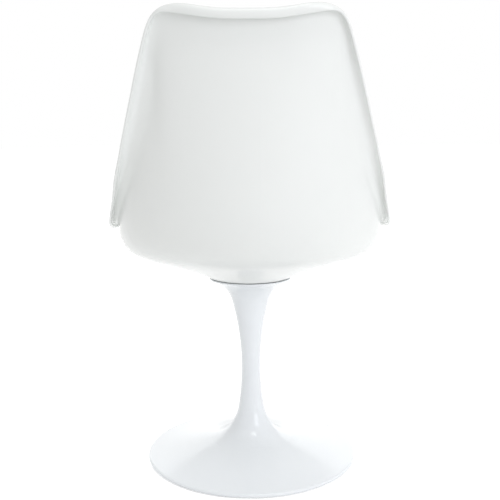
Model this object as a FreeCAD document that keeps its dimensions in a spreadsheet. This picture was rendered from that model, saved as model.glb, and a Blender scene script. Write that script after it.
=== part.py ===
import FreeCAD, Part
import math
import os
import re
import Sketcher
from FreeCAD import Vector

# Swivel dining chair: a moulded bucket shell that turns on a trumpet pedestal.
# Frame: origin on the floor, on the swivel axis; +Z up, the sitter faces -Y, +X is the sitter's left.
# Every driving size is a named cell of the sheet, in millimetres, degrees or a count.

SIZES = [
    # pedestal
    ("seam_height", 346.0, "floor to the flat top of the pedestal"),
    ("ring_radius", 76.0, "pedestal top and shell neck"),
    ("ring_edge", 2.4, "upright edge of the pedestal top"),
    ("stem_radius", 17.5, "stem at its waist"),
    ("waist_height", 173.7, "floor to the waist of the stem"),
    ("upper_stem_curve", 498.0, "long curve above the waist"),
    ("upper_flare_curve", 60.0, "short curve under the pedestal top"),
    ("lower_stem_curve", 482.0, "long curve below the waist"),
    ("lower_flare_curve", 74.5, "short curve down onto the disc"),
    ("disc_curve", 750.0, "shallow curve of the disc's top"),
    ("disc_slope", 7.0, "slope of the disc's top at its edge, degrees"),
    ("base_radius", 197.5, "outer edge of the disc"),
    ("base_edge", 8.0, "top of the disc's edge above the floor"),
    ("hollow_radius", 176.0, "mouth of the hollow under the disc"),
    ("edge_wall", 6.1, "thickness of the disc where its underside would meet its edge"),
    ("under_slope", 11.5, "slope of the disc's underside, degrees"),
    ("hollow_curve", 90.0, "curve of that hollow up to the bore"),
    ("bore_radius", 13.0, "bore through the stem"),
    ("edge_round", 2.8, "rounding of the disc's edge"),
    # ring on the floor
    ("floor_gap", 1.5, "casting above the floor"),
    ("floor_ring_inner", 183.0, "inside of the floor ring"),
    ("floor_ring_outer", 191.0, "outside of the floor ring"),
    ("floor_ring_depth", 2.5, "groove of the floor ring"),
    # bushes and spindle
    ("running_fit", 0.05, "radial play of the spindle"),
    ("axial_play", 0.1, "end play of the spindle"),
    ("spindle_radius", 10.0, "spindle in its bushes"),
    ("tenon_radius", 8.0, "spindle in the plate"),
    ("bush_flange_radius", 17.0, "flange of both bushes"),
    ("bush_flange", 2.0, "thickness of that flange"),
    ("bush_length", 24.0, "sleeve of a bush"),
    ("lower_bush_height", 118.0, "floor to the seat of the lower bush"),
    ("thread_radius", 6.0, "thread at the foot of the spindle"),
    ("thread_fit", 0.05, "radial play on that thread"),
    ("thread_end", 4.0, "thread that shows below the nut"),
    ("foot_washer_radius", 14.5, "washer under the lower bush"),
    ("foot_washer_height", 2.5, "thickness of that washer"),
    ("nut_across_flats", 19.0, "lock nut"),
    ("nut_height", 10.0, "height of the lock nut"),
    # thrust bearing
    ("seam_gap", 1.6, "gap between pedestal and shell"),
    ("race_inner", 18.5, "bore of both races"),
    ("race_outer", 30.0, "outside of both races"),
    ("race_height", 1.6, "thickness of a race"),
    ("race_play", 0.2, "gap round the lower race in its seat"),
    ("ball_radius", 2.5, "balls"),
    ("ball_circle", 24.2, "radius of the ring of balls"),
    ("ball_count", 14, "number of balls"),
    ("ball_play", 0.02, "play between a ball and a race"),
    ("pocket_play", 0.08, "play between a ball and its pocket"),
    ("cage_height", 2.2, "thickness of the ball cage"),
    ("cage_margin", 1.4, "from the races' edges to the cage's"),
    ("seal_inner", 32.0, "inside of the dust seal"),
    ("seal_width", 3.5, "width of the dust seal"),
    ("seal_play", 0.3, "gap between dust seal and plate"),
    # plate and its fasteners
    ("plate_radius", 64.0, "seat plate"),
    ("plate_height", 4.0, "thickness of the seat plate"),
    ("recess_radius", 70.0, "recess under the shell"),
    ("recess_depth", 9.5, "depth of that recess"),
    ("screw_circle", 46.0, "radius of the ring of screws"),
    ("screw_count", 4, "number of screws"),
    ("screw_radius", 2.95, "thread of a screw"),
    ("screw_hole", 3.3, "screw's hole in the plate"),
    ("screw_length", 12.0, "screw below its head"),
    ("screw_head", 5.25, "head of a screw"),
    ("screw_head_height", 3.2, "height of that head"),
    ("screw_key", 4.0, "hexagon socket across its flats"),
    ("screw_key_depth", 1.8, "depth of that socket"),
    ("washer_radius", 5.6, "spring washer"),
    ("washer_height", 1.2, "thickness of a spring washer"),
    ("insert_radius", 4.5, "threaded insert"),
    ("insert_bore", 3.0, "bore of an insert"),
    ("insert_length", 7.5, "length of an insert"),
    # shell
    ("floor_thickness", 9.0, "shell over the plate"),
    ("floor_flat", 60.0, "flat middle of the seat"),
    ("shell_wall", 4.4, "shell elsewhere"),
    ("bowl_inner", 0.52, "first ring of the bowl, as a share of the bend's reach"),
    ("bowl_middle", 0.66, "second ring of the bowl"),
    ("bowl_outer", 0.82, "third ring of the bowl"),
    ("neck_rise", 7.0, "drop of the neck's flare below the bowl's slope"),
    ("neck_reach", 56.0, "how far the flare runs out from the neck"),
    ("slope_back", 21.5, "slope of the bowl behind, degrees"),
    ("slope_side", 15.8, "slope of the bowl at the sides, degrees"),
    ("slope_front", 13.5, "slope of the bowl in front, degrees"),
    ("bend_back", 197.0, "reach of the bowl's bend behind"),
    ("bend_side", 218.0, "reach of the bowl's bend at the sides"),
    ("bend_front", 220.0, "reach of the bowl's bend in front"),
    ("bend_back_height", 418.0, "height of the bend behind"),
    ("bend_side_height", 399.0, "height of the bend at the sides"),
    ("bend_front_height", 397.0, "height of the bend in front"),
    ("back_lean", 8.0, "lean of the round back, degrees"),
    ("low_bulge", 15, "outward bulge of the wall where it is low"),
    ("half_tall", 146.0, "height of the wall that is halfway from low to tall"),
    ("low_roundness", 1.5, "how far the back is pulled round at a third of its height"),
    ("high_roundness", 1.1, "how far the back is pulled round at two thirds of its height"),
    # lip, which turns over at the top, flares at the sides and rolls level in front
    ("lip_run", 12.0, "run of the wall square to the lip"),
    ("lip_blend", 0.12, "further run towards the bend, as a share of the wall"),
    ("top_lip_lean", 26.0, "outward lean of the wall at the lip, degrees"),
    ("top_lip_radius", 7.0, "radius on the seat side"),
    ("top_lip_turn", 172.0, "angle the lip turns through"),
    ("top_lip_skirt", 6.0, "straight end of the lip"),
    ("corner_lip_lean", 10.0, "outward lean of the wall at the lip, degrees"),
    ("corner_lip_radius", 9.0, "radius on the seat side"),
    ("corner_lip_turn", 110.0, "angle the lip turns through"),
    ("corner_lip_skirt", 3.0, "straight end of the lip"),
    ("side_lip_lean", 3.0, "outward lean of the wall at the lip, degrees"),
    ("side_lip_radius", 18.0, "radius on the seat side"),
    ("side_lip_turn", 72.0, "angle the lip turns through"),
    ("side_lip_skirt", 3.0, "straight end of the lip"),
    ("front_lip_lean", 8, "outward lean of the wall at the lip, degrees"),
    ("front_lip_radius", 6.5, "radius on the seat side"),
    ("front_lip_turn", 140, "angle the lip turns through"),
    ("front_lip_skirt", 6, "straight end of the lip"),
    # touch fastener and pad
    ("fastener_radius", 45.0, "round touch fastener"),
    ("hook_height", 1.2, "thickness of its hook half"),
    ("loop_height", 1.4, "thickness of its loop half"),
    ("pad_play", 1.0, "gap between pad and shell"),
    ("pad_back", 178.0, "reach of the pad behind"),
    ("pad_side", 206.0, "reach of the pad at the sides"),
    ("pad_front", 226.0, "reach of the pad in front"),
    ("pad_middle", 76.0, "thickness of the pad in the middle"),
    ("pad_edge", 40.0, "thickness of the pad near its edge"),
    ("cover_wall", 1.3, "thickness of the pad's cover"),
    ("welt_radius", 2.6, "piping round the pad"),
    ("welt_play", 0.2, "gap between piping and cover"),
]

# Crest line of the lip, from the middle of the top down the sitter's left to the middle of the front:
# name, shape of the lip there, sideways, front to back, height. The sitter's right is its mirror image.
RIM = [
    ("top_middle", "top", 0.0, 263.0, 792.0),
    ("top_quarter", "top", 56.0, 260.0, 794.0),
    ("crest", "top", 106.0, 252.0, 802.0),
    ("corner", "corner", 138.0, 239.0, 796.0),
    ("shoulder", "corner", 157.0, 224.0, 764.0),
    ("upper_side", "side", 176.0, 203.0, 700.0),
    ("mid_side", "side", 204.0, 165.0, 604.0),
    ("low_side", "front", 236.0, 92.0, 504.0),
    ("side_bend", "front", 252.0, 36.0, 463.0),
    ("widest", "front", 257.0, -28.0, 449.0),
    ("front_side", "front", 243.0, -120.0, 443.0),
    ("front_corner", "front", 201.0, -205.0, 439.0),
    ("front_quarter", "front", 114.0, -253.0, 435.0),
    ("front_middle", "front", 0.0, -268.0, 433.0),
]

# Heights that several pieces share.
SHELL_BOTTOM = "(seam_height + seam_gap)"
PLATE_TOP = f"({SHELL_BOTTOM} + recess_depth)"
PLATE_BOTTOM = f"({PLATE_TOP} - plate_height)"
FLOOR_TOP = f"({PLATE_TOP} + floor_thickness)"
UPPER_RACE_BOTTOM = f"({PLATE_BOTTOM} - race_height)"
BALL_MIDDLE = f"({UPPER_RACE_BOTTOM} - ball_play - ball_radius)"
LOWER_RACE_TOP = f"({BALL_MIDDLE} - ball_radius - ball_play)"
RACE_SEAT = f"({LOWER_RACE_TOP} - race_height)"
UPPER_BUSH_SEAT = f"({RACE_SEAT} - bush_flange)"
LOWER_FLANGE_BOTTOM = "(lower_bush_height - bush_flange)"
FOOT_WASHER_TOP = f"({LOWER_FLANGE_BOTTOM} - axial_play)"
NUT_TOP = f"({FOOT_WASHER_TOP} - foot_washer_height)"
NUT_BOTTOM = f"({NUT_TOP} - nut_height)"
WASHER_BOTTOM = f"({PLATE_BOTTOM} - washer_height)"
HOOK_TOP = f"({FLOOR_TOP} + hook_height)"
PAD_BOTTOM = f"({HOOK_TOP} + loop_height)"

STATIONS = 96  # profiles round the shell and the pad
PROFILE_POINTS = 240  # points down each profile of the seat
BEND_ROW = 5  # ring of poles at the bend, counted from the middle of the seat
WALL_ROWS = {6: 10, 7: 8, 8: 5, 9: 2}  # rounds of evening out for the rings of poles up the wall
FLARE_SHARES = (0.2, 0.08, 0.0)  # places of the neck's rings of poles along its flare

doc = FreeCAD.newDocument("swivel_chair")
sheet = doc.addObject("Spreadsheet::Sheet", "Sizes")
parts = []


def fill_sheet():
    """Write every driving size into its own named cell."""
    rows = list(SIZES)
    for name, _, sideways, depth, height in RIM:
        rows.append((name + "_x", sideways, "lip, sideways"))
        rows.append((name + "_y", depth, "lip, front to back"))
        rows.append((name + "_height", height, "lip, above the floor"))
    for row, (alias, amount, note) in enumerate(rows, start=1):
        sheet.set(f"A{row}", note)
        sheet.set(f"B{row}", str(amount))
        sheet.setAlias(f"B{row}", alias)
    doc.recompute()


def cell(expression):
    """Expression whose size names point at the sheet's cells."""
    names = re.compile(r"[a-z_]+")
    known = sheet.getCellFromAlias

    def point(match):
        word = match.group()
        return "Sizes." + word if known(word) else word

    return names.sub(point, expression)


def size(expression):
    """Number that an expression of size names gives."""
    return float(sheet.evalExpression(cell(expression)))


# ---------------------------------------------------------------- sketches and features


def new_body(label):
    """A PartDesign body that is one sub-part."""
    body = doc.addObject("PartDesign::Body", label)
    body.Label = label
    parts.append(body)
    return body


def origin_item(body, role):
    """Plane or axis of a body's own origin."""
    return next(item for item in body.Origin.OriginFeatures if item.Role == role)


def new_sketch(body, name, role="XY_Plane", height=None):
    """Sketch on one of the body's own planes, raised to a height."""
    sketch = body.newObject("Sketcher::SketchObject", name)
    sketch.AttachmentSupport = [(origin_item(body, role), "")]
    sketch.MapMode = "FlatFace"
    if height is not None:
        sketch.setExpression("AttachmentOffset.Base.z", cell(height))
    return sketch


def bind(sketch, name, expression, kind, *where):
    """Add a dimension to a sketch and bind it to the sheet."""
    index = sketch.addConstraint(Sketcher.Constraint(kind, *where, size(expression)))
    sketch.renameConstraint(index, name)
    sketch.setExpression("Constraints." + name, cell(expression))


def relate(sketch, kind, *where):
    """Add a geometric constraint to a sketch."""
    sketch.addConstraint(Sketcher.Constraint(kind, *where))


def pin(sketch, name, geometry, end, across, upright):
    """Fix a point of a sketch at a radius and a height."""
    if across == "0":
        relate(sketch, "PointOnObject", geometry, end, -2)
    else:
        bind(sketch, name + "_across", across, "DistanceX", -1, 1, geometry, end)
    if upright == "0":
        relate(sketch, "PointOnObject", geometry, end, -1)
    else:
        bind(sketch, name + "_upright", upright, "DistanceY", -1, 1, geometry, end)


def centre_on(sketch, name, circle, away):
    """Centre a circle on the origin, or at a distance along the sketch's X axis."""
    if away is None:
        relate(sketch, "Coincident", circle, 3, -1, 1)
    else:
        pin(sketch, name, circle, 3, away, "0")


def add_circle(sketch, name, radius, away=None):
    """Circle with a bound radius."""
    middle = Vector(0 if away is None else size(away), 0, 0)
    circle = sketch.addGeometry(Part.Circle(middle, Vector(0, 0, 1), size(radius)))
    centre_on(sketch, name + "_place", circle, away)
    bind(sketch, name + "_radius", radius, "Radius", circle)


def add_hexagon(sketch, name, across_flats, away=None):
    """Regular hexagon with a bound width across its flats."""
    middle = Vector(0 if away is None else size(away), 0, 0)
    corner_radius = f"{across_flats} / 2 / cos(30)"
    reach = size(corner_radius)
    guide = sketch.addGeometry(Part.Circle(middle, Vector(0, 0, 1), reach), True)
    centre_on(sketch, name + "_place", guide, away)
    bind(sketch, name + "_corner_radius", corner_radius, "Radius", guide)
    corners = []
    for turn in range(6):
        angle = math.radians(60 * turn)
        corners.append(middle + Vector(reach * math.cos(angle), reach * math.sin(angle), 0))
    sides = [sketch.addGeometry(Part.LineSegment(corners[turn - 1], corners[turn])) for turn in range(6)]
    for turn in range(6):
        relate(sketch, "Coincident", sides[turn - 1], 2, sides[turn], 1)
        relate(sketch, "PointOnObject", sides[turn], 1, guide)
    for side in sides[1:]:
        relate(sketch, "Equal", sides[0], side)
    relate(sketch, "PointOnObject", sides[0], 2, -1)


def pad_up(body, name, sketch, length):
    """Pad a sketch upwards."""
    feature = body.newObject("PartDesign::Pad", name)
    feature.Profile = sketch
    feature.setExpression("Length", cell(length))
    return feature


def cut_down(body, name, sketch, length, upwards=False):
    """Pocket a sketch downwards, or upwards."""
    feature = body.newObject("PartDesign::Pocket", name)
    feature.Profile = sketch
    feature.Reversed = upwards
    feature.setExpression("Length", cell(length))
    return feature


def add_disc(body, name, height, length, outer, inner=None, away=None):
    """Round disc or ring that stands on a height."""
    sketch = new_sketch(body, name + "_sketch", height=height)
    add_circle(sketch, "outer", outer, away)
    if inner is not None:
        add_circle(sketch, "inner", inner, away)
    return pad_up(body, name, sketch, length)


def cut_disc(body, name, height, length, outer, inner=None, away=None):
    """Round or ring-shaped pocket down from a height."""
    sketch = new_sketch(body, name + "_sketch", height=height)
    add_circle(sketch, "outer", outer, away)
    if inner is not None:
        add_circle(sketch, "inner", inner, away)
    return cut_down(body, name, sketch, length)


def repeat_round(body, name, features, count):
    """Repeat features round the vertical axis."""
    pattern = body.newObject("PartDesign::PolarPattern", name)
    pattern.Originals = features
    pattern.Axis = (origin_item(body, "Z_Axis"), [""])
    pattern.Angle = 360.0
    pattern.setExpression("Occurrences", cell(count))
    body.Tip = pattern
    return pattern


def turn(body, kind, name, sketch):
    """Revolution or Groove of a sketch about the vertical axis."""
    feature = body.newObject(kind, name)
    feature.Profile = sketch
    feature.ReferenceAxis = (sketch, ["V_Axis"])
    feature.Angle = 360.0
    return feature


# ---------------------------------------------------------------- pedestal


def arc_through(centre, radius, start, end):
    """Arc of a circle, counter-clockwise from one point to another."""
    circle = Part.Circle(centre, Vector(0, 0, 1), radius)
    first = math.atan2(start.y - centre.y, start.x - centre.x)
    last = math.atan2(end.y - centre.y, end.x - centre.x)
    return Part.ArcOfCircle(circle, first, last)


def towards(start, end, distance):
    """Point at a distance from one point on the way to another."""
    return start + (end - start).normalize() * distance


def meeting(first, first_reach, second, second_reach):
    """Point at given distances from two others, to the left of the way from the first to the second."""
    apart = (second - first).Length
    reach = (apart**2 + first_reach**2 - second_reach**2) / (2 * apart)
    offset = math.sqrt(first_reach**2 - reach**2)
    along = (second - first).normalize()
    return first + along * reach + Vector(-along.y, along.x, 0) * offset


def pedestal_outline(body):
    """Sketch of the trumpet: curved disc, two curves up to the waist, two curves out to the top."""
    sketch = new_sketch(body, "outline", "XZ_Plane")
    waist = Vector(size("stem_radius"), size("waist_height"), 0)
    edge = Vector(size("base_radius"), size("base_edge"), 0)
    top_edge = Vector(size("ring_radius"), size("seam_height - ring_edge"), 0)
    slope = math.radians(size("disc_slope"))
    long_up, short_up = size("upper_stem_curve"), size("upper_flare_curve")
    long_down, short_down = size("lower_stem_curve"), size("lower_flare_curve")
    shallow = size("disc_curve")
    up_centre = waist + Vector(long_up, 0, 0)
    down_centre = waist + Vector(long_down, 0, 0)
    disc_centre = edge + Vector(math.sin(slope), math.cos(slope), 0) * shallow
    flare_up = meeting(up_centre, long_up - short_up, top_edge, short_up)
    flare_down = meeting(down_centre, long_down - short_down, disc_centre, shallow - short_down)
    join_up = towards(up_centre, flare_up, long_up)
    join_down = towards(down_centre, flare_down, long_down)
    disc_end = towards(disc_centre, flare_down, shallow)
    foot = Vector(0, size("floor_gap"), 0)
    foot_edge = Vector(edge.x, foot.y, 0)
    top_corner = Vector(top_edge.x, size("seam_height"), 0)
    top_middle = Vector(0, top_corner.y, 0)

    bottom = sketch.addGeometry(Part.LineSegment(foot, foot_edge))
    edge_line = sketch.addGeometry(Part.LineSegment(foot_edge, edge))
    disc = sketch.addGeometry(arc_through(disc_centre, shallow, disc_end, edge))
    lower_flare = sketch.addGeometry(arc_through(flare_down, short_down, join_down, disc_end))
    lower_stem = sketch.addGeometry(arc_through(down_centre, long_down, waist, join_down))
    upper_stem = sketch.addGeometry(arc_through(up_centre, long_up, join_up, waist))
    upper_flare = sketch.addGeometry(arc_through(flare_up, short_up, top_edge, join_up))
    ring_line = sketch.addGeometry(Part.LineSegment(top_edge, top_corner))
    top = sketch.addGeometry(Part.LineSegment(top_corner, top_middle))
    axis = sketch.addGeometry(Part.LineSegment(top_middle, foot))

    relate(sketch, "Coincident", bottom, 2, edge_line, 1)
    relate(sketch, "Coincident", edge_line, 2, disc, 2)
    relate(sketch, "Tangent", disc, 1, lower_flare, 2)
    relate(sketch, "Tangent", lower_flare, 1, lower_stem, 2)
    relate(sketch, "Coincident", lower_stem, 1, upper_stem, 2)
    relate(sketch, "Tangent", upper_stem, 1, upper_flare, 2)
    relate(sketch, "Coincident", upper_flare, 1, ring_line, 1)
    relate(sketch, "Coincident", ring_line, 2, top, 1)
    relate(sketch, "Coincident", top, 2, axis, 1)
    relate(sketch, "Coincident", axis, 2, bottom, 1)
    relate(sketch, "Horizontal", lower_stem, 1, lower_stem, 3)
    relate(sketch, "Horizontal", upper_stem, 2, upper_stem, 3)
    relate(sketch, "Horizontal", bottom)
    relate(sketch, "Vertical", edge_line)
    relate(sketch, "Vertical", ring_line)
    relate(sketch, "Horizontal", top)
    pin(sketch, "foot", bottom, 1, "0", "floor_gap")
    pin(sketch, "edge", disc, 2, "base_radius", "base_edge")
    disc_across = "base_radius + disc_curve * sin(disc_slope)"
    pin(sketch, "disc_middle", disc, 3, disc_across, "base_edge + disc_curve * cos(disc_slope)")
    pin(sketch, "waist", lower_stem, 1, "stem_radius", "waist_height")
    pin(sketch, "top_edge", ring_line, 1, "ring_radius", "seam_height - ring_edge")
    relate(sketch, "PointOnObject", axis, 1, -2)
    bind(sketch, "top_height", "seam_height", "DistanceY", -1, 1, top, 1)
    bind(sketch, "lower_flare_size", "lower_flare_curve", "Radius", lower_flare)
    bind(sketch, "lower_stem_size", "lower_stem_curve", "Radius", lower_stem)
    bind(sketch, "upper_stem_size", "upper_stem_curve", "Radius", upper_stem)
    bind(sketch, "upper_flare_size", "upper_flare_curve", "Radius", upper_flare)
    return sketch


def pedestal_hollow(body):
    """Sketch of the hollow: mouth, underside of the disc, curve and bore up to the top."""
    sketch = new_sketch(body, "hollow_outline", "XZ_Plane")
    slope = math.radians(size("under_slope"))
    bore, curve = size("bore_radius"), size("hollow_curve")
    above = Vector(0, size("seam_height") + size("ring_edge"), 0)
    guide = Vector(size("base_radius"), size("base_edge - edge_wall"), 0)
    mouth = Vector(size("hollow_radius"), 0, 0)
    mouth_top = Vector(mouth.x, guide.y + (guide.x - mouth.x) * math.tan(slope), 0)
    curve_x = bore + curve
    touch_x = curve_x - curve * math.sin(slope)
    touch = Vector(touch_x, guide.y + (guide.x - touch_x) * math.tan(slope), 0)
    centre = Vector(curve_x, touch.y + curve * math.cos(slope), 0)
    bore_foot = Vector(bore, centre.y, 0)
    bore_top = Vector(bore, above.y, 0)

    bottom = sketch.addGeometry(Part.LineSegment(Vector(0, 0, 0), mouth))
    side = sketch.addGeometry(Part.LineSegment(mouth, mouth_top))
    under = sketch.addGeometry(Part.LineSegment(mouth_top, touch))
    flare = sketch.addGeometry(arc_through(centre, curve, bore_foot, touch))
    wall = sketch.addGeometry(Part.LineSegment(bore_foot, bore_top))
    top = sketch.addGeometry(Part.LineSegment(bore_top, above))
    axis = sketch.addGeometry(Part.LineSegment(above, Vector(0, 0, 0)))
    point = sketch.addGeometry(Part.Point(guide), True)

    relate(sketch, "Coincident", bottom, 2, side, 1)
    relate(sketch, "Coincident", side, 2, under, 1)
    relate(sketch, "Tangent", under, 2, flare, 2)
    relate(sketch, "Tangent", flare, 1, wall, 1)
    relate(sketch, "Coincident", wall, 2, top, 1)
    relate(sketch, "Coincident", top, 2, axis, 1)
    relate(sketch, "Coincident", axis, 2, bottom, 1)
    relate(sketch, "Coincident", axis, 2, -1, 1)
    relate(sketch, "Horizontal", bottom)
    relate(sketch, "Vertical", side)
    relate(sketch, "Vertical", wall)
    relate(sketch, "Horizontal", top)
    relate(sketch, "Vertical", axis)
    relate(sketch, "PointOnObject", point, 1, under)
    pin(sketch, "guide", point, 1, "base_radius", "base_edge - edge_wall")
    bind(sketch, "mouth", "hollow_radius", "DistanceX", -1, 1, side, 1)
    bind(sketch, "slope", "180 - under_slope", "Angle", under)
    bind(sketch, "curve", "hollow_curve", "Radius", flare)
    bind(sketch, "bore", "bore_radius", "DistanceX", -1, 1, wall, 1)
    bind(sketch, "above", "seam_height + ring_edge", "DistanceY", -1, 1, top, 1)
    return sketch


def round_disc_edge(body, casting):
    """Round both corners of the disc's edge."""
    doc.recompute()
    names = []
    for number, edge in enumerate(casting.Shape.Edges, start=1):
        if edge.Curve.TypeId == "Part::GeomCircle" and abs(edge.Curve.Radius - size("base_radius")) < 0.01:
            names.append(f"Edge{number}")
    fillet = body.newObject("PartDesign::Fillet", "edge_rounding")
    fillet.Base = (casting, names)
    fillet.setExpression("Radius", cell("edge_round"))
    return fillet


def make_pedestal_base():
    body = new_body("pedestal_base")
    casting = turn(body, "PartDesign::Revolution", "casting", pedestal_outline(body))
    round_disc_edge(body, casting)
    turn(body, "PartDesign::Groove", "hollow", pedestal_hollow(body))
    cut_disc(body, "race_seat", "seam_height", f"seam_height - {RACE_SEAT}", "race_outer + race_play")
    cut_disc(body, "upper_bush_seat", RACE_SEAT, "bush_flange", "bush_flange_radius")
    cut_disc(body, "lower_bush_seat", "lower_bush_height", "lower_bush_height", "bush_flange_radius")
    groove_top = "floor_gap + floor_ring_depth"
    cut_disc(body, "ring_groove", groove_top, "floor_ring_depth", "floor_ring_outer", "floor_ring_inner")


def make_floor_ring():
    body = new_body("floor_ring")
    add_disc(body, "ring", "0", "floor_gap + floor_ring_depth", "floor_ring_outer", "floor_ring_inner")


def make_bushes():
    inner = "spindle_radius + running_fit"
    upper = new_body("upper_bushing")
    add_disc(upper, "upper_sleeve", f"{UPPER_BUSH_SEAT} - bush_length", "bush_length", "bore_radius", inner)
    add_disc(upper, "upper_flange", UPPER_BUSH_SEAT, "bush_flange", "bush_flange_radius", inner)
    lower = new_body("lower_bushing")
    add_disc(lower, "lower_flange", LOWER_FLANGE_BOTTOM, "bush_flange", "bush_flange_radius", inner)
    add_disc(lower, "lower_sleeve", "lower_bush_height", "bush_length", "bore_radius", inner)


def make_dust_seal():
    body = new_body("dust_seal")
    length = f"{PLATE_BOTTOM} - seal_play - seam_height"
    add_disc(body, "felt", "seam_height", length, "seal_inner + seal_width", "seal_inner")


# ---------------------------------------------------------------- thrust bearing


def make_races():
    lower = new_body("lower_race")
    add_disc(lower, "lower_washer", RACE_SEAT, "race_height", "race_outer", "race_inner")
    upper = new_body("upper_race")
    add_disc(upper, "upper_washer", UPPER_RACE_BOTTOM, "race_height", "race_outer", "race_inner")


def make_ball_cage():
    body = new_body("ball_cage")
    bottom = f"{BALL_MIDDLE} - cage_height / 2"
    add_disc(body, "cage", bottom, "cage_height", "race_outer - cage_margin", "race_inner + cage_margin")
    top = f"{BALL_MIDDLE} + cage_height / 2"
    pocket = cut_disc(body, "pocket", top, "cage_height", "ball_radius + pocket_play", away="ball_circle")
    repeat_round(body, "pockets", [pocket], "ball_count")


def make_bearing_balls():
    body = new_body("bearing_balls")
    ball = body.newObject("PartDesign::AdditiveSphere", "ball")
    ball.AttachmentSupport = [(origin_item(body, "XY_Plane"), "")]
    ball.MapMode = "FlatFace"
    ball.setExpression("AttachmentOffset.Base.x", cell("ball_circle"))
    ball.setExpression("AttachmentOffset.Base.z", cell(BALL_MIDDLE))
    ball.setExpression("Radius", cell("ball_radius"))
    repeat_round(body, "balls", [ball], "ball_count")


# ---------------------------------------------------------------- plate, spindle and fasteners


def make_seat_plate():
    body = new_body("seat_plate")
    add_disc(body, "plate", PLATE_BOTTOM, "plate_height", "plate_radius", "tenon_radius + running_fit")
    hole = cut_disc(body, "screw_way", PLATE_TOP, "plate_height", "screw_hole", away="screw_circle")
    repeat_round(body, "screw_ways", [hole], "screw_count")


def make_spindle():
    body = new_body("spindle")
    thread_bottom = f"({NUT_BOTTOM} - thread_end)"
    add_disc(body, "thread", thread_bottom, f"{FOOT_WASHER_TOP} - {thread_bottom}", "thread_radius")
    add_disc(body, "shaft", FOOT_WASHER_TOP, f"{PLATE_BOTTOM} - {FOOT_WASHER_TOP}", "spindle_radius")
    add_disc(body, "tenon", PLATE_BOTTOM, "plate_height", "tenon_radius")


def make_spindle_foot():
    inner = "thread_radius + thread_fit"
    washer = new_body("spindle_washer")
    add_disc(washer, "foot_washer", NUT_TOP, "foot_washer_height", "foot_washer_radius", inner)
    nut = new_body("spindle_nut")
    sketch = new_sketch(nut, "nut_outline", height=NUT_BOTTOM)
    add_hexagon(sketch, "flats", "nut_across_flats")
    add_circle(sketch, "inner", inner)
    pad_up(nut, "nut", sketch, "nut_height")


def make_plate_screws():
    body = new_body("plate_screws")
    head_bottom = f"({WASHER_BOTTOM} - screw_head_height)"
    head = add_disc(body, "head", head_bottom, "screw_head_height", "screw_head", away="screw_circle")
    shank = add_disc(body, "shank", WASHER_BOTTOM, "screw_length", "screw_radius", away="screw_circle")
    sketch = new_sketch(body, "key_outline", height=head_bottom)
    add_hexagon(sketch, "flats", "screw_key", away="screw_circle")
    socket = cut_down(body, "key_socket", sketch, "screw_key_depth", upwards=True)
    repeat_round(body, "screws", [head, shank, socket], "screw_count")


def make_screw_washers():
    body = new_body("screw_washers")
    washer = add_disc(
        body, "washer", WASHER_BOTTOM, "washer_height", "washer_radius", "screw_hole", away="screw_circle"
    )
    repeat_round(body, "washers", [washer], "screw_count")


def make_shell_inserts():
    body = new_body("shell_inserts")
    insert = add_disc(
        body, "insert", PLATE_TOP, "insert_length", "insert_radius", "insert_bore", away="screw_circle"
    )
    repeat_round(body, "inserts", [insert], "screw_count")


# ---------------------------------------------------------------- curved skins


def at(angle, radius, height):
    """Point at an angle round the axis."""
    return Vector(radius * math.cos(angle), radius * math.sin(angle), height)


def blend(angle, back, side, front):
    """Size that passes smoothly from back to side to front round the axis."""
    depth = math.sin(angle)
    end = back if depth > 0 else front
    return side + (end - side) * depth**2


def closed_solid(rows):
    """Solid inside a smooth skin, from rings of poles, closed by a flat disc at each end."""
    stations = len(rows[0])
    spans = len(rows) - 3
    surface = Part.BSplineSurface()
    surface.buildFromPolesMultsKnots(
        [[row[station] for row in rows] for station in range(stations)],
        [1] * (stations + 1),
        [4] + [1] * (spans - 1) + [4],
        [float(knot) for knot in range(stations + 1)],
        [float(knot) for knot in range(spans + 1)],
        True,
        False,
        3,
        3,
    )
    ends = [surface.vIso(end).toShape() for end in (0.0, float(spans))]
    faces = [surface.toShape()] + [Part.Face(Part.Wire([end])) for end in ends]
    return solid_of(faces)


def closed_tube(rows):
    """Solid ring inside a skin that closes on itself both ways."""
    stations, turns = len(rows[0]), len(rows)
    surface = Part.BSplineSurface()
    surface.buildFromPolesMultsKnots(
        [[row[station] for row in rows] for station in range(stations)],
        [1] * (stations + 1),
        [1] * (turns + 1),
        [float(knot) for knot in range(stations + 1)],
        [float(knot) for knot in range(turns + 1)],
        True,
        True,
        3,
        3,
    )
    return solid_of([surface.toShape()])


def solid_of(faces):
    """Sew faces into one solid that points outwards."""
    shell = Part.Shell(faces)
    if len(faces) > 1:
        shell.sewShape()
    solid = Part.makeSolid(shell)
    if solid.Volume < 0:
        solid.reverse()
    return solid


def add_shape(label, shape):
    """Sub-part whose curved shape is set directly."""
    feature = doc.addObject("Part::Feature", label)
    feature.Label = label
    feature.Shape = shape
    parts.append(feature)


# ---------------------------------------------------------------- shell


def lip_shape(kind):
    """Lean, radius, turn and skirt of one kind of lip."""
    return [size(f"{kind}_lip_{part}") for part in ("lean", "radius", "turn", "skirt")]


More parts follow.
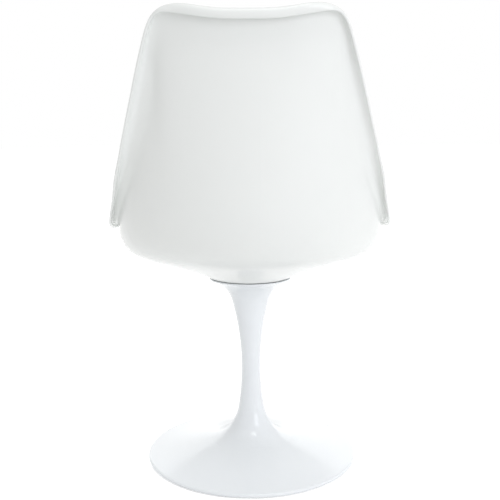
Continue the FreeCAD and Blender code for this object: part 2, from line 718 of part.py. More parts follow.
def lip_line():
    """Points of the lip's crest line, anticlockwise seen from above, and the lip's shape at each."""
    left = [Vector(size(name + "_x"), size(name + "_y"), size(name + "_height")) for name, *_ in RIM]
    right = [Vector(-point.x, point.y, point.z) for point in left[1:-1]]
    points = [left[0]] + right + [left[-1]] + left[-2:0:-1]
    kinds = [kind for _, kind, *_ in RIM]
    shapes = [lip_shape(kind) for kind in kinds + kinds[-2:0:-1]]
    reached = [0.0]
    for before, after in zip(points, points[1:] + points[:1]):
        reached.append(reached[-1] + (after - before).Length)
    curve = Part.BSplineCurve()
    curve.interpolate(Points=points, Parameters=reached, PeriodicFlag=True)
    line, forms = [], []
    span = 0
    for station in range(STATIONS):
        place = reached[-1] * station / STATIONS
        while reached[span + 1] <= place:
            span += 1
        share = (place - reached[span]) / (reached[span + 1] - reached[span])
        share *= share * (3 - 2 * share)
        after = shapes[(span + 1) % len(shapes)]
        line.append(curve.value(place))
        forms.append([a + (b - a) * share for a, b in zip(shapes[span], after)])
    mirrored = [Vector(-point.x, point.y, point.z) for point in line[:1] + line[:0:-1]]
    return [(point + other) / 2 for point, other in zip(line, mirrored)], forms


def tallness(point, bend):
    """Share that is small where the wall is low and nears one up the back."""
    height = (point - bend).Length
    return height / (height + size("half_tall"))


def lip_frames(line, forms):
    """Way up the wall at the lip, square to the lip, and way out of the lip."""
    frames = []
    for station, (point, form) in enumerate(zip(line, forms)):
        along = (line[(station + 1) % STATIONS] - line[station - 1]).normalize()
        wall = point - bowl_bend(math.atan2(point.y, point.x))
        wall = (wall - along * wall.dot(along)).normalize()
        lean = math.radians(form[0])
        leaning = wall * math.cos(lean) + along.cross(wall) * math.sin(lean)
        frames.append((leaning, along.cross(leaning)))
    return frames


def bowl_bend(angle):
    """Corner between bowl and wall, on the seat side."""
    reach = blend(angle, size("bend_back"), size("bend_side"), size("bend_front"))
    height = blend(angle, size("bend_back_height"), size("bend_side_height"), size("bend_front_height"))
    return at(angle, reach, height)


def bowl_underside(angle, reach):
    """Pole under the bowl, on the slope that rises from the neck."""
    slope = blend(angle, size("slope_back"), size("slope_side"), size("slope_front"))
    start = size(SHELL_BOTTOM) + size("neck_rise")
    return at(angle, reach, start + (reach - size("ring_radius")) * math.tan(math.radians(slope)))


def flared_underside(angle, reach):
    """Pole under the bowl, where the neck's flare runs out into that slope."""
    left = max(0.0, 1 - (reach - size("ring_radius")) / size("neck_reach"))
    return bowl_underside(angle, reach) - Vector(0, 0, size("neck_rise") * left**2)


def bowl_rings(angle):
    """Distances of the bowl's three rings from the axis."""
    reach = blend(angle, size("bend_back"), size("bend_side"), size("bend_front"))
    return [reach * size(share) for share in ("bowl_inner", "bowl_middle", "bowl_outer")]


def lip_poles(point, form, leaning, out):
    """Poles of the seat side round the lip, from the end of the wall to the end of the skirt."""
    _, radius, turn, skirt = form
    step = math.radians(turn) / 4
    pole_reach = radius * 3 / (2 + math.cos(step))
    crest = min(math.radians(turn), math.pi / 2)
    centre = point - (leaning * math.sin(crest) - out * math.cos(crest)) * radius
    poles = []
    for number in range(5):
        tilt = step * number
        poles.append(centre + (leaning * math.sin(tilt) - out * math.cos(tilt)) * pole_reach)
    way = leaning * math.cos(4 * step) + out * math.sin(4 * step)
    return poles + [poles[-1] + way * skirt / 2, poles[-1] + way * skirt]


def seat_skin(line, forms):
    """Rings of poles on the seat side, from the flat floor to the end of the lip's skirt."""
    top, wall = size(FLOOR_TOP), size("shell_wall")
    flat, thick = size("floor_flat"), size("floor_thickness")
    lean = math.tan(math.radians(size("back_lean")))
    columns = []
    for point, form, (leaning, out) in zip(line, forms, lip_frames(line, forms)):
        angle = math.atan2(point.y, point.x)
        bend = bowl_bend(angle)
        inner, middle, outer = bowl_rings(angle)
        column = [at(angle, flat, top), at(angle, (flat + inner) / 2, top)]
        for reach, depth in ((inner, thick), (middle, (thick + wall) / 2), (outer, wall)):
            column.append(bowl_underside(angle, reach) + Vector(0, 0, depth))
        column.append(bend)
        lip = lip_poles(point, form, leaning, out)
        height = (lip[0] - bend).Length
        near = lip[0] - leaning * size("lip_run") * height / (height + size("lip_run") * 3)
        far = near + (bend - near) * size("lip_blend")
        tall = tallness(point, bend)
        for share, roundness in ((1 / 3, size("low_roundness")), (2 / 3, size("high_roundness"))):
            straight = bend + (far - bend) * share
            round_reach = math.hypot(bend.x, bend.y) + (straight.z - bend.z) * lean
            reach = math.hypot(straight.x, straight.y)
            reach += (round_reach - reach) * roundness * tall**2 + size("low_bulge") * (1 - tall)
            column.append(at(math.atan2(straight.y, straight.x), reach, straight.z))
        columns.append(column + [far, near] + lip)
    rows = [list(row) for row in zip(*columns)]
    for number, rounds in WALL_ROWS.items():
        rows[number] = evened(rows[number], rounds)
    return rows


def evened(row, rounds):
    """Ring of poles after some rounds of averaging with their neighbours."""
    count = len(row)
    for _ in range(rounds):
        row = [(row[number - 1] + row[number] * 2 + row[(number + 1) % count]) / 4 for number in range(count)]
    return row


def offset_row(rows, index, thickness):
    """One ring of poles moved square to its skin, away from the sitter."""
    row = rows[index]
    before, after = rows[index - 1], rows[min(index + 1, len(rows) - 1)]
    moved = []
    for station, pole in enumerate(row):
        along = row[(station + 1) % len(row)] - row[station - 1]
        up = after[station] - before[station]
        moved.append(pole + along.cross(up).normalize() * thickness)
    return moved


def under_skin(seat_rows, line):
    """Rings of poles on the far side, from the end of the lip's skirt to the neck's bottom."""
    wall = size("shell_wall")
    rows = [offset_row(seat_rows, index, wall) for index in range(len(seat_rows) - 1, BEND_ROW - 1, -1)]
    angles = [math.atan2(point.y, point.x) for point in line]
    for ring in (2, 1, 0):
        rows.append([flared_underside(angle, bowl_rings(angle)[ring]) for angle in angles])
    for share in FLARE_SHARES:
        reach = size("ring_radius") + size("neck_reach") * share
        rows.append([flared_underside(angle, reach) for angle in angles])
    return rows


def skirt_end(seat_rows, under_rows):
    """Ring of poles that rounds off the end of the lip's skirt."""
    last, before, other = seat_rows[-1], seat_rows[-2], under_rows[0]
    push = size("shell_wall") / 4
    return [(a + b) * 0.5 + (a - c).normalize() * push for a, b, c in zip(last, other, before)]


def make_seat_shell():
    line, forms = lip_line()
    seat_rows = seat_skin(line, forms)
    under_rows = under_skin(seat_rows, line)
    solid = closed_solid(seat_rows + [skirt_end(seat_rows, under_rows)] + under_rows)
    bottom = Vector(0, 0, size(SHELL_BOTTOM) - size("seam_gap") / 2)
    cuts = [Part.makeCylinder(size("recess_radius"), size("recess_depth + seam_gap / 2"), bottom)]
    count = int(size("screw_count"))
    for number in range(count):
        foot = at(2 * math.pi * number / count, size("screw_circle"), size(PLATE_TOP))
        cuts.append(Part.makeCylinder(size("insert_radius"), size("insert_length"), foot))
    add_shape("seat_shell", solid.cut(cuts))
    return line, seat_rows


# ---------------------------------------------------------------- pad


def make_touch_fastener():
    hook = new_body("hook_disc")
    add_disc(hook, "hooks", FLOOR_TOP, "hook_height", "fastener_radius")
    loop = new_body("loop_disc")
    add_disc(loop, "loops", HOOK_TOP, "loop_height", "fastener_radius")


def seat_height_at(column, reach):
    """Height of the seat's surface at a distance from the axis, along one profile."""
    before = column[0]
    for point in column[1:]:
        if point[0] >= reach:
            share = (reach - before[0]) / (point[0] - before[0])
            return before[1] + (point[1] - before[1]) * share
        before = point
    return before[1]


def seat_profiles(seat_rows):
    """Distance from the axis and height, down the curve of every profile of the seat."""
    profiles = []
    for column in zip(*seat_rows):
        curve = Part.BSplineCurve()
        count = len(column)
        knots = [float(knot) for knot in range(count - 2)]
        curve.buildFromPolesMultsKnots(list(column), [4] + [1] * (count - 4) + [4], knots, False, 3)
        points = curve.discretize(Number=PROFILE_POINTS)
        profiles.append([(math.hypot(point.x, point.y), point.z) for point in points])
    return profiles


def pad_rows(line, profiles, inset):
    """Rings of poles round the pad, from its flat bottom out, over its edge and in to the top."""
    bottom, play = size(PAD_BOTTOM), size("pad_play")
    middle, edge = size("pad_middle"), size("pad_edge")
    flat, top = size("fastener_radius"), bottom + middle - inset
    columns = []
    for point, profile in zip(line, profiles):
        angle = math.atan2(point.y, point.x)
        reach = blend(angle, size("pad_back"), size("pad_side"), size("pad_front")) - inset
        column = [at(angle, flat, bottom + inset)]
        for share in (0.42, 0.62, 0.82, 0.95):
            height = max(seat_height_at(profile, reach * share) + play, bottom)
            column.append(at(angle, reach * share, height + inset))
        rim = seat_height_at(profile, reach) + play
        column.append(at(angle, reach, rim + edge * 0.25))
        column.append(at(angle, reach, rim + edge * 0.75))
        column.append(at(angle, reach * 0.96, rim + edge - inset))
        for share in (0.88, 0.7, 0.45):
            under = max(seat_height_at(profile, reach * share) + play, bottom)
            thick = middle + (edge - middle) * share**2
            column.append(at(angle, reach * share, under + thick - inset))
        column.append(at(angle, reach * 0.2, top))
        column.append(at(angle, reach * 0.1, top))
        columns.append(column)
    return [list(row) for row in zip(*columns)]


def make_pad(line, seat_rows):
    profiles = seat_profiles(seat_rows)
    outside = pad_rows(line, profiles, 0.0)
    cover = closed_solid(outside)
    foam = closed_solid(pad_rows(line, profiles, size("cover_wall")))
    add_shape("pad_foam", foam)
    add_shape("pad_cover", cover.cut(foam))
    add_shape("pad_welt", welt_ring(line, outside))


def welt_ring(line, outside):
    """Piping that lies against the pad's widest line."""
    radius = size("welt_radius")
    pole_reach = radius * 3 / (2 + math.cos(math.radians(45)))
    away = radius + size("welt_play")
    rows = []
    for turned in range(8):
        tilt = math.radians(45 * turned)
        row = []
        for below, above in zip(outside[5], outside[6]):
            equator = (below + above) * 0.5
            flat = Vector(equator.x, equator.y, 0).normalize()
            centre = equator + flat * away
            row.append(centre + (flat * math.cos(tilt) + Vector(0, 0, 1) * math.sin(tilt)) * pole_reach)
        rows.append(row)
    return closed_tube(rows)


# ---------------------------------------------------------------- whole chair


def check_document():
    """Stop if any object failed or any sub-part has no valid shape."""
    failed = [item.Name for item in doc.Objects if {"Invalid", "Error"} & set(item.State)]
    if failed:
        raise RuntimeError("failed objects: " + ", ".join(failed))
    for part in parts:
        if part.Shape.isNull() or not part.Shape.isValid() or part.Shape.Volume <= 0:
            raise RuntimeError("no valid shape: " + part.Label)


def export_parts():
    os.makedirs("parts", exist_ok=True)
    for part in parts:
        part.Shape.exportStep(os.path.join("parts", part.Label + ".step"))


fill_sheet()
make_pedestal_base()
make_floor_ring()
make_bushes()
make_dust_seal()
make_races()
make_ball_cage()
make_bearing_balls()
make_seat_plate()
make_spindle()
make_spindle_foot()
make_plate_screws()
make_screw_washers()
make_shell_inserts()
shell_line, shell_rows = make_seat_shell()
make_touch_fastener()
make_pad(shell_line, shell_rows)
doc.recompute()
check_document()
export_parts()
for part in parts:
    print(f"{part.Label:16s} {len(part.Shape.Solids):3d} solids  {part.Shape.Volume:12.1f} mm3")
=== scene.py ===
"""Looks of a swivel dining chair seen from behind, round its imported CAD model.

Satin white shell, gloss white pedestal, loose vinyl pad. Metres; the origin is on the floor on the
swivel axis, +Z is up, the sitter faces -Y and +X is the sitter's left.
"""

import math

import bmesh
import bpy
from mathutils import Matrix, Vector


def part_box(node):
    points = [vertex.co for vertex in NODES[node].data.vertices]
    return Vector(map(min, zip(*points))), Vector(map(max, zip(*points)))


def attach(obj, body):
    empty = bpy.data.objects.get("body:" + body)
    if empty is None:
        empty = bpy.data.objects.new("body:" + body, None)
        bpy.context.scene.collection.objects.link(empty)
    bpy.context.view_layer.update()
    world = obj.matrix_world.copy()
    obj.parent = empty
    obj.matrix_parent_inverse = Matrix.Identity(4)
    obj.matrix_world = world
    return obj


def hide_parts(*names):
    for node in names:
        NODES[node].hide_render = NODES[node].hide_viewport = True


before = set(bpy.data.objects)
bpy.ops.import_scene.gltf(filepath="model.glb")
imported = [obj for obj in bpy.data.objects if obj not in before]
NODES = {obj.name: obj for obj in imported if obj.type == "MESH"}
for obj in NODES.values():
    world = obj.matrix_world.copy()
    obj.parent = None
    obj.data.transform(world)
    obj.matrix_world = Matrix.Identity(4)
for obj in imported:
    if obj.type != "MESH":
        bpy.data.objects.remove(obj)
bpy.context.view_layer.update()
SCENE = bpy.context.scene

WHITE = (1.0, 1.0, 1.0, 1.0)
FULL_TURN = 2 * math.pi

CAMERA_PLACE = (0.0, 1.42, 0.6157)
CAMERA_SENSOR = 36.0  # millimetres, as is the lens
CAMERA_LENS = 55.44
CAMERA_DOWN = 8.775  # degrees below the horizon
CAMERA_ROLL = -0.5  # degrees

NOISE_SPAN = (0.3, 0.7)  # most of a noise's values lie in it

WELT_PLACES = 90  # places round the piping's line
WELT_WINDOW = math.radians(4.0)  # the solid's points within it on each side give a place
WELT_SMOOTHINGS = 3
PAD_VOXEL = 0.005
PAD_SWELL = 0.008  # farthest that a point of the cover swells
SEAM_HOLD = 0.006  # height over the seam where the cover starts to swell
COVER_WALL = 0.0012
CLOTH_PRESSURE = 4.0
CLOTH_QUALITY = 6
CLOTH_FRAMES = 20
PIPING = 0.0026  # radius of the piping
PIPING_STEPS = 6  # rings of the piping from one place to the next
PIPING_SIDES = 12
STITCH_STEPS = 3  # rings of the piping from one stitch to the next
STITCH_PULL = 0.045  # share of the radius by which a stitch draws the piping in
STEP_AHEAD = 0.01  # share of the way to the next place, far enough to give a direction

FLOOR_REACH = 30.0
FLOOR_PAPER = (0.86, 0.86, 0.86)
FLOOR_GLOW = (0.46, 0.46, 0.46, 1.0)  # brings the lit paper up to white where it is seen
WORLD_FILL = 0.66  # strength of the world's light on the chair
WORLD_SEEN = 1.0  # strength of the world as the background


# ---------------------------------------------------------------- camera


def make_camera():
    """Camera behind the chair, at the photograph's height, distance and tilt."""
    data = bpy.data.cameras.new("camera")
    data.sensor_width = CAMERA_SENSOR
    data.lens = CAMERA_LENS
    camera = bpy.data.objects.new("camera", data)
    SCENE.collection.objects.link(camera)
    turn = Matrix.Rotation(math.radians(180.0), 4, "Z")
    tilt = Matrix.Rotation(math.radians(90.0 - CAMERA_DOWN), 4, "X")
    roll = Matrix.Rotation(math.radians(CAMERA_ROLL), 4, "Z")
    camera.matrix_world = Matrix.Translation(CAMERA_PLACE) @ turn @ tilt @ roll
    SCENE.camera = camera


# ---------------------------------------------------------------- materials


class Surface:
    """A node-based material under construction."""

    def __init__(self, name, color, roughness):
        self.material = bpy.data.materials.new(name)
        self.material.use_nodes = True
        self.material.diffuse_color = (*color, 1.0)
        self.nodes = self.material.node_tree.nodes
        self.links = self.material.node_tree.links
        self.nodes.clear()
        self.output = self.nodes.new("ShaderNodeOutputMaterial")
        self.shader = self.nodes.new("ShaderNodeBsdfPrincipled")
        self.links.new(self.shader.outputs["BSDF"], self.output.inputs["Surface"])
        self.shader.inputs["Base Color"].default_value = (*color, 1.0)
        self.shader.inputs["Roughness"].default_value = roughness
        self.place = self.nodes.new("ShaderNodeTexCoord").outputs["Object"]

    def set(self, **sockets):
        """Constant values straight on the shader's sockets."""
        for name, amount in sockets.items():
            self.shader.inputs[name.replace("_", " ")].default_value = amount

    def noise(self, scale, detail=3.0, roughness=0.5, stretch=None):
        """Noise in the object's own space, stretched along an axis if asked."""
        texture = self.nodes.new("ShaderNodeTexNoise")
        texture.inputs["Scale"].default_value = scale
        texture.inputs["Detail"].default_value = detail
        texture.inputs["Roughness"].default_value = roughness
        place = self.place
        if stretch is not None:
            mapping = self.nodes.new("ShaderNodeMapping")
            mapping.inputs["Scale"].default_value = stretch
            self.links.new(place, mapping.inputs["Vector"])
            place = mapping.outputs["Vector"]
        self.links.new(place, texture.inputs["Vector"])
        return texture.outputs["Fac"]

    def cells(self, scale, feature):
        """Voronoi distance in the object's own space."""
        texture = self.nodes.new("ShaderNodeTexVoronoi")
        texture.feature = feature
        texture.inputs["Scale"].default_value = scale
        self.links.new(self.place, texture.inputs["Vector"])
        return texture.outputs["Distance"]

    def ramp(self, source, low, high, start, end):
        """Low where a value is start, high where it is end, smooth between them."""
        node = self.nodes.new("ShaderNodeMapRange")
        node.interpolation_type = "SMOOTHSTEP"
        node.inputs["From Min"].default_value = start
        node.inputs["From Max"].default_value = end
        node.inputs["To Min"].default_value = low
        node.inputs["To Max"].default_value = high
        self.links.new(source, node.inputs["Value"])
        return node.outputs["Result"]

    def tint(self, mask, color):
        """Blend another colour over the base where the mask is 1."""
        mix = self.nodes.new("ShaderNodeMix")
        mix.data_type = "RGBA"
        base = self.shader.inputs["Base Color"]
        if base.is_linked:
            self.links.new(base.links[0].from_socket, mix.inputs["A"])
        else:
            mix.inputs["A"].default_value = base.default_value
        mix.inputs["B"].default_value = (*color, 1.0)
        self.links.new(mask, mix.inputs["Factor"])
        self.links.new(mix.outputs["Result"], base)

    def stain(self, source, color, share, start, end):
        """Tint by up to a share, growing as a value goes from start to end."""
        self.tint(self.ramp(source, 0.0, share, start, end), color)

    def rough(self, source, low, high):
        """Vary the roughness with a noise."""
        uneven = self.ramp(source, low, high, *NOISE_SPAN)
        self.links.new(uneven, self.shader.inputs["Roughness"])

    def bump(self, source, depth, strength=1.0):
        """Add relief, in metres, on top of any that is there."""
        node = self.nodes.new("ShaderNodeBump")
        node.inputs["Strength"].default_value = strength
        node.inputs["Distance"].default_value = depth
        self.links.new(source, node.inputs["Height"])
        normal = self.shader.inputs["Normal"]
        if normal.is_linked:
            self.links.new(normal.links[0].from_socket, node.inputs["Normal"])
        self.links.new(node.outputs["Normal"], normal)


def shaded(color, share):
    """A darker shade of a colour."""
    return tuple(channel * share for channel in color)


def shell_plastic():
    """Satin moulded plastic under a clear gloss, with the slight waves of a moulding."""
    surface = Surface("shell_plastic", (0.846, 0.864, 0.846), 0.42)
    surface.set(Specular_IOR_Level=0.3, IOR=1.49)
    surface.set(Coat_Weight=0.6, Coat_Roughness=0.14, Coat_IOR=1.5)
    clouds = surface.noise(9.0, detail=4.0)
    surface.stain(clouds, (0.826, 0.844, 0.828), share=0.35, start=0.45, end=0.75)
    surface.rough(surface.noise(26.0, detail=5.0, roughness=0.6), low=0.36, high=0.48)
    surface.bump(surface.noise(420.0, detail=2.0), depth=0.00006)
    surface.bump(surface.noise(34.0, detail=2.0), depth=0.0004, strength=0.25)
    return surface.material


def pedestal_enamel():
    """Gloss enamel on cast metal, with a trace of the spray's orange peel."""
    surface = Surface("pedestal_enamel", (0.83, 0.857, 0.877), 0.15)
    surface.set(Specular_IOR_Level=0.5, IOR=1.5)
    surface.set(Coat_Weight=0.1, Coat_Roughness=0.04, Coat_IOR=1.5)
    clouds = surface.noise(7.0, detail=4.0)
    surface.stain(clouds, (0.815, 0.843, 0.865), share=0.3, start=0.45, end=0.75)
    surface.rough(surface.noise(30.0, detail=5.0, roughness=0.6), low=0.14, high=0.18)
    surface.bump(surface.noise(260.0, detail=2.0), depth=0.00008, strength=0.6)
    return surface.material


def plain(name, color, roughness, metallic=0.0, scale=300.0, depth=0.00008):
    """Material of an inner piece: fine relief and uneven gloss."""
    surface = Surface(name, color, roughness)
    surface.set(Metallic=metallic)
    clouds = surface.noise(scale / 8, detail=4.0)
    surface.stain(clouds, shaded(color, 0.82), share=0.5, start=0.4, end=0.75)
    uneven = surface.noise(scale / 3, detail=4.0)
    surface.rough(uneven, low=roughness * 0.8, high=min(1.0, roughness * 1.25))
    surface.bump(surface.noise(scale), depth=depth)
    return surface.material


def steel(name, color, roughness, lines=900.0):
    """Bare or plated steel: drawn lines, uneven gloss and a faint stain of oil."""
    surface = Surface(name, color, roughness)
    surface.set(Metallic=1.0)
    drawn = surface.noise(lines, detail=2.0, stretch=(1.0, 1.0, 0.04))
    oil = surface.noise(45.0, detail=5.0)
    surface.stain(oil, shaded(color, 0.6), share=0.6, start=0.5, end=0.8)
    surface.rough(drawn, low=roughness * 0.8, high=roughness * 1.35)
    surface.bump(drawn, depth=0.00004, strength=0.5)
    return surface.material


def felt(name, color):
    """Pressed felt or the nap of touch fabric: tangled fibres and sheen."""
    surface = Surface(name, color, 0.95)
    surface.set(Sheen_Weight=0.5, Sheen_Roughness=0.5, Specular_IOR_Level=0.1)
    fibres = surface.noise(1400.0, detail=6.0, roughness=0.75)
    surface.stain(fibres, shaded(color, 0.72), share=0.7, start=0.4, end=0.65)
    surface.bump(fibres, depth=0.0004)
    surface.bump(surface.noise(220.0), depth=0.0003, strength=0.6)
    return surface.material


def vinyl():
    """White leather-look vinyl: pebbled grain with fine creases between the pebbles, darkened
    there with painted shade.
    """
    surface = Surface("cover_vinyl", (0.85, 0.85, 0.835), 0.46)
    surface.set(Specular_IOR_Level=0.5, Coat_Weight=0.08, Coat_Roughness=0.35)
    pebbles = surface.cells(720.0, "SMOOTH_F1")
    creases = surface.cells(420.0, "DISTANCE_TO_EDGE")
    crease_hollow_and_shade = surface.ramp(creases, low=1.0, high=0.0, start=0.0, end=0.12)
    # painted shade: the creases between the pebbles are darkened in colour, besides their real
    # relief
    surface.tint(crease_hollow_and_shade, (0.76, 0.76, 0.74))
    clouds = surface.noise(11.0, detail=4.0)
    surface.stain(clouds, (0.82, 0.815, 0.79), share=0.3, start=0.5, end=0.8)
    surface.rough(surface.noise(60.0, detail=4.0), low=0.38, high=0.55)
    surface.bump(pebbles, depth=0.00016, strength=0.7)
    surface.bump(crease_hollow_and_shade, depth=-0.0001, strength=0.8)
    surface.bump(surface.noise(38.0), depth=0.0006, strength=0.4)
    return surface.material


def dress_nodes():
    """Give every carried-over CAD node its material."""
    hard = steel("hardened_steel", (0.56, 0.56, 0.57), 0.22)
    zinc = steel("zinc_steel", (0.66, 0.67, 0.70), 0.32, lines=500.0)
    mild = steel("plate_steel", (0.48, 0.48, 0.49), 0.38)
    nylon = plain("nylon", (0.80, 0.79, 0.74), 0.45)
    black_nylon = plain("cage_nylon", (0.045, 0.045, 0.045), 0.5)
    rubber = plain("floor_rubber", (0.74, 0.74, 0.73), 0.7, scale=500.0, depth=0.00015)
    brass = plain("brass", (0.62, 0.44, 0.18), 0.3, metallic=1.0)
    looks = (
        (shell_plastic(), "seat_shell"),
        (pedestal_enamel(), "pedestal_base"),
        (rubber, "floor_ring"),
        (nylon, "upper_bushing", "lower_bushing"),
        (felt("felt", (0.30, 0.30, 0.28)), "dust_seal"),
        (hard, "lower_race", "upper_race", "bearing_balls"),
        (black_nylon, "ball_cage"),
        (mild, "seat_plate", "spindle"),
        (zinc, "spindle_washer", "spindle_nut", "plate_screws", "screw_washers"),
        (brass, "shell_inserts"),
        (felt("touch_fabric", (0.80, 0.80, 0.78)), "hook_disc", "loop_disc"),
    )
    for material, *names in looks:
        for name in names:
            mesh = NODES[name].data
            mesh.materials.clear()
            mesh.materials.append(material)


# ---------------------------------------------------------------- pad


def bake_modifiers(thing):
    """Replace an object's mesh by its modified one and drop the modifiers."""
    graph = bpy.context.evaluated_depsgraph_get()
    mesh = bpy.data.meshes.new_from_object(thing.evaluated_get(graph))
    thing.modifiers.clear()
    thing.data = mesh


def middle(values):
    """Midpoint of the range of some values."""
    return (min(values) + max(values)) / 2


def welt_line():
    """Centre line of the pad's piping, from its CAD solid: places round the swivel axis."""
    welt = NODES["pad_welt"]
    points = [welt.matrix_world @ vertex.co for vertex in welt.data.vertices]
    round_axis = [
        (math.atan2(point.y, point.x), math.hypot(point.x, point.y), point.z) for point in points
    ]
    line = []
    for number in range(WELT_PLACES):
        angle = FULL_TURN * number / WELT_PLACES
        near = [
            (reach, height)
            for turned, reach, height in round_axis
            if abs(math.remainder(turned - angle, FULL_TURN)) < WELT_WINDOW
        ]
        reaches, heights = zip(*near)
        reach, height = middle(reaches), middle(heights)
        line.append(Vector((reach * math.cos(angle), reach * math.sin(angle), height)))
    for _ in range(WELT_SMOOTHINGS):
        line = [
            (line[number - 1] + line[number] * 2 + line[(number + 1) % WELT_PLACES]) / 4
            for number in range(WELT_PLACES)
        ]
    return line


def height_on(line, point):
    """Height of the piping's line at a point's angle round the axis."""
    place = math.atan2(point.y, point.x) / FULL_TURN * len(line) % len(line)
    first = int(place) % len(line)
    share = place - int(place)
    return line[first].z * (1 - share) + line[(first + 1) % len(line)].z * share


def make_pad(line, cover):
    """Loose seat pad: the foam's form in a cover that swells between its seam and its middle."""
    foam = NODES["pad_foam"]
    pad = bpy.data.objects.new("seat_pad", foam.data.copy())
    SCENE.collection.objects.link(pad)
    pad.matrix_world = foam.matrix_world
    remesh = pad.modifiers.new("remesh", "REMESH")
    remesh.mode = "VOXEL"
    remesh.voxel_size = PAD_VOXEL
    bake_modifiers(pad)
    pad.data.materials.clear()
    swell(pad, line)
    mesh = pad.data
    normals = [vertex.normal.copy() for vertex in mesh.vertices]
    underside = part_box("pad_cover")[0][2]
    for vertex, normal in zip(mesh.vertices, normals):
        vertex.co += normal * COVER_WALL
        vertex.co.z = max(vertex.co.z, underside)
    mesh.shade_smooth()
    mesh.materials.append(cover)
    subdivision = pad.modifiers.new("smooth", "SUBSURF")
    subdivision.levels = 1
    subdivision.render_levels = 1
    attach(pad, "seat")
    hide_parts("pad_cover", "pad_foam")


def swell(pad, line):
    """Inflate the upper half of the pad as cloth, held at the seam and below it."""
    start = [vertex.co.copy() for vertex in pad.data.vertices]
    held = pad.vertex_groups.new(name="held")
    for vertex in pad.data.vertices:
        above = vertex.co.z - height_on(line, vertex.co)
        free = min(1.0, max(0.0, (above - SEAM_HOLD) / SEAM_HOLD))
        held.add([vertex.index], 1.0 - free, "REPLACE")
    cloth = pad.modifiers.new("cloth", "CLOTH")
    settings = cloth.settings
    settings.quality = CLOTH_QUALITY
    settings.use_pressure = True
    settings.uniform_pressure_force = CLOTH_PRESSURE
    settings.effector_weights.gravity = 0.0
    settings.vertex_group_mass = "held"
    for step in range(1, CLOTH_FRAMES + 1):
        SCENE.frame_set(step)
    bake_modifiers(pad)
    SCENE.frame_set(1)
    for vertex, before in zip(pad.data.vertices, start):
        move = vertex.co - before
        if move.length > PAD_SWELL:
            vertex.co = before + move * (PAD_SWELL / move.length)
    pad.vertex_groups.clear()


def spline(places, share):
    """Point of a smooth line between the second and the third of four places."""
    before, here, after, beyond = places
    bend = (after - before) / 2
    bend_after = (beyond - here) / 2
    square, cube = share * share, share**3
    return (
        here * (2 * cube - 3 * square + 1)
        + bend * (cube - 2 * square + share)
        + after * (3 * square - 2 * cube)
        + bend_after * (cube - square)
    )


def piping_ring(line, number):
    """Points of one ring of the piping, drawn in a little where a stitch holds it."""
    place = number / PIPING_STEPS
    first, share = int(place), place - int(place)
    places = [line[(first + offset) % len(line)] for offset in (-1, 0, 1, 2)]
    centre = spline(places, share)
    ahead = spline(places, share + STEP_AHEAD) - centre
    across = ahead.cross(Vector((0, 0, 1))).normalized()
    up = across.cross(ahead).normalized()
    drawn = 1.0 - STITCH_PULL * (0.5 + 0.5 * math.cos(FULL_TURN * number / STITCH_STEPS))
    ring = []
    for corner in range(PIPING_SIDES):
        turned = FULL_TURN * corner / PIPING_SIDES
        outward = across * math.cos(turned) + up * math.sin(turned)
        ring.append(centre + outward * PIPING * drawn)
    return ring


def make_piping(line, cover):
    """Piping in the pad's seam, as one closed tube."""
    build = bmesh.new()
    count = len(line) * PIPING_STEPS
    rings = [[build.verts.new(point) for point in piping_ring(line, n)] for n in range(count)]
    for number in range(count):
        ring, following = rings[number], rings[(number + 1) % count]
        for corner in range(PIPING_SIDES):
            other = (corner + 1) % PIPING_SIDES
            build.faces.new((ring[corner], ring[other], following[other], following[corner]))
    bmesh.ops.recalc_face_normals(build, faces=build.faces)
    mesh = bpy.data.meshes.new("pad_piping")
    build.to_mesh(mesh)
    build.free()
    mesh.shade_smooth()
    mesh.materials.append(cover)
    piping = bpy.data.objects.new("pad_piping", mesh)
    SCENE.collection.objects.link(piping)
    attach(piping, "seat")
    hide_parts("pad_welt")


# ---------------------------------------------------------------- stage


def seen_directly(nodes, links):
    """One for camera, glossy and transmission rays, which see the background as it is."""
    path = nodes.new("ShaderNodeLightPath")
    seen = path.outputs["Is Camera Ray"]
    for kind in ("Is Glossy Ray", "Is Transmission Ray"):
        either = nodes.new("ShaderNodeMath")
        either.operation = "MAXIMUM"
        links.new(seen, either.inputs[0])
        links.new(path.outputs[kind], either.inputs[1])
        seen = either.outputs["Value"]
    return seen


def make_floor():
    """Pale paper that takes the chair's shadow and is seen as white."""
    mesh = bpy.data.meshes.new("floor")
    signs = ((-1, -1), (1, -1), (1, 1), (-1, 1))
    corners = [(FLOOR_REACH * across, FLOOR_REACH * along, 0.0) for across, along in signs]
    mesh.from_pydata(corners, [], [(0, 1, 2, 3)])
    floor = bpy.data.objects.new("floor", mesh)
    SCENE.collection.objects.link(floor)
    surface = Surface("floor_paper", FLOOR_PAPER, 0.9)
    surface.set(Specular_IOR_Level=0.0)
    glow = surface.nodes.new("ShaderNodeEmission")
    surface.links.new(seen_directly(surface.nodes, surface.links), glow.inputs["Strength"])
    glow.inputs["Color"].default_value = FLOOR_GLOW
    both = surface.nodes.new("ShaderNodeAddShader")
    surface.links.new(surface.shader.outputs["BSDF"], both.inputs[0])
    surface.links.new(glow.outputs["Emission"], both.inputs[1])
    surface.links.new(both.outputs["Shader"], surface.output.inputs["Surface"])
    mesh.materials.append(surface.material)


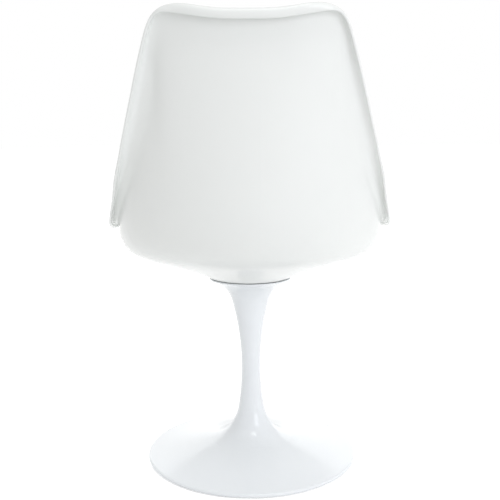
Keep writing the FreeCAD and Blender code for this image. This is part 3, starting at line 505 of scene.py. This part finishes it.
def make_world():
    """Even white light on the chair, and a background that is seen as white."""
    world = bpy.data.worlds.new("studio")
    world.use_nodes = True
    nodes, links = world.node_tree.nodes, world.node_tree.links
    nodes.clear()
    output = nodes.new("ShaderNodeOutputWorld")
    mix = nodes.new("ShaderNodeMixShader")
    links.new(seen_directly(nodes, links), mix.inputs["Fac"])
    for number, strength in ((1, WORLD_FILL), (2, WORLD_SEEN)):
        background = nodes.new("ShaderNodeBackground")
        background.inputs["Color"].default_value = WHITE
        background.inputs["Strength"].default_value = strength
        links.new(background.outputs["Background"], mix.inputs[number])
    links.new(mix.outputs["Shader"], output.inputs["Surface"])
    SCENE.world = world


def make_lamp(name, place, aim, width, height, power):
    """Soft rectangular lamp that points at a place."""
    data = bpy.data.lights.new(name, "AREA")
    data.shape = "RECTANGLE"
    data.size = width
    data.size_y = height
    data.energy = power
    lamp = bpy.data.objects.new(name, data)
    SCENE.collection.objects.link(lamp)
    lamp.location = place
    lamp.rotation_euler = (Vector(aim) - Vector(place)).to_track_quat("-Z", "Y").to_euler()
    lamp.visible_camera = False
    return lamp


def light_scene():
    """Soft key behind the sitter's right, broad front and top lights, strips for the underside."""
    key = make_lamp(
        "key", place=(-1.71, 2.19, 1.3), aim=(0.0, 0.0, 0.5), width=1.4, height=1.8, power=22.8
    )
    key.data.color = (0.945, 0.95, 1.0)
    make_lamp(
        "front", place=(0.0, -2.4, 0.82), aim=(0.0, 0.0, 0.82), width=3.6, height=1.64, power=18.0
    )
    make_lamp(
        "top", place=(-0.35, 1.5, 4.0), aim=(0.0, 0.2, 0.0), width=1.4, height=1.4, power=24.5
    )
    for side in (-1.0, 1.0):
        place, aim = (0.36 * side, 0.12, 0.03), (0.14 * side, 0.1, 0.4)
        strip = make_lamp("low_strip", place, aim, width=0.24, height=0.5, power=0.35)
        strip.visible_glossy = False


make_camera()
dress_nodes()
WELT = welt_line()
COVER = vinyl()
make_pad(WELT, COVER)
make_piping(WELT, COVER)
make_floor()
make_world()
light_scene()
SCENE.view_settings.view_transform = "Standard"
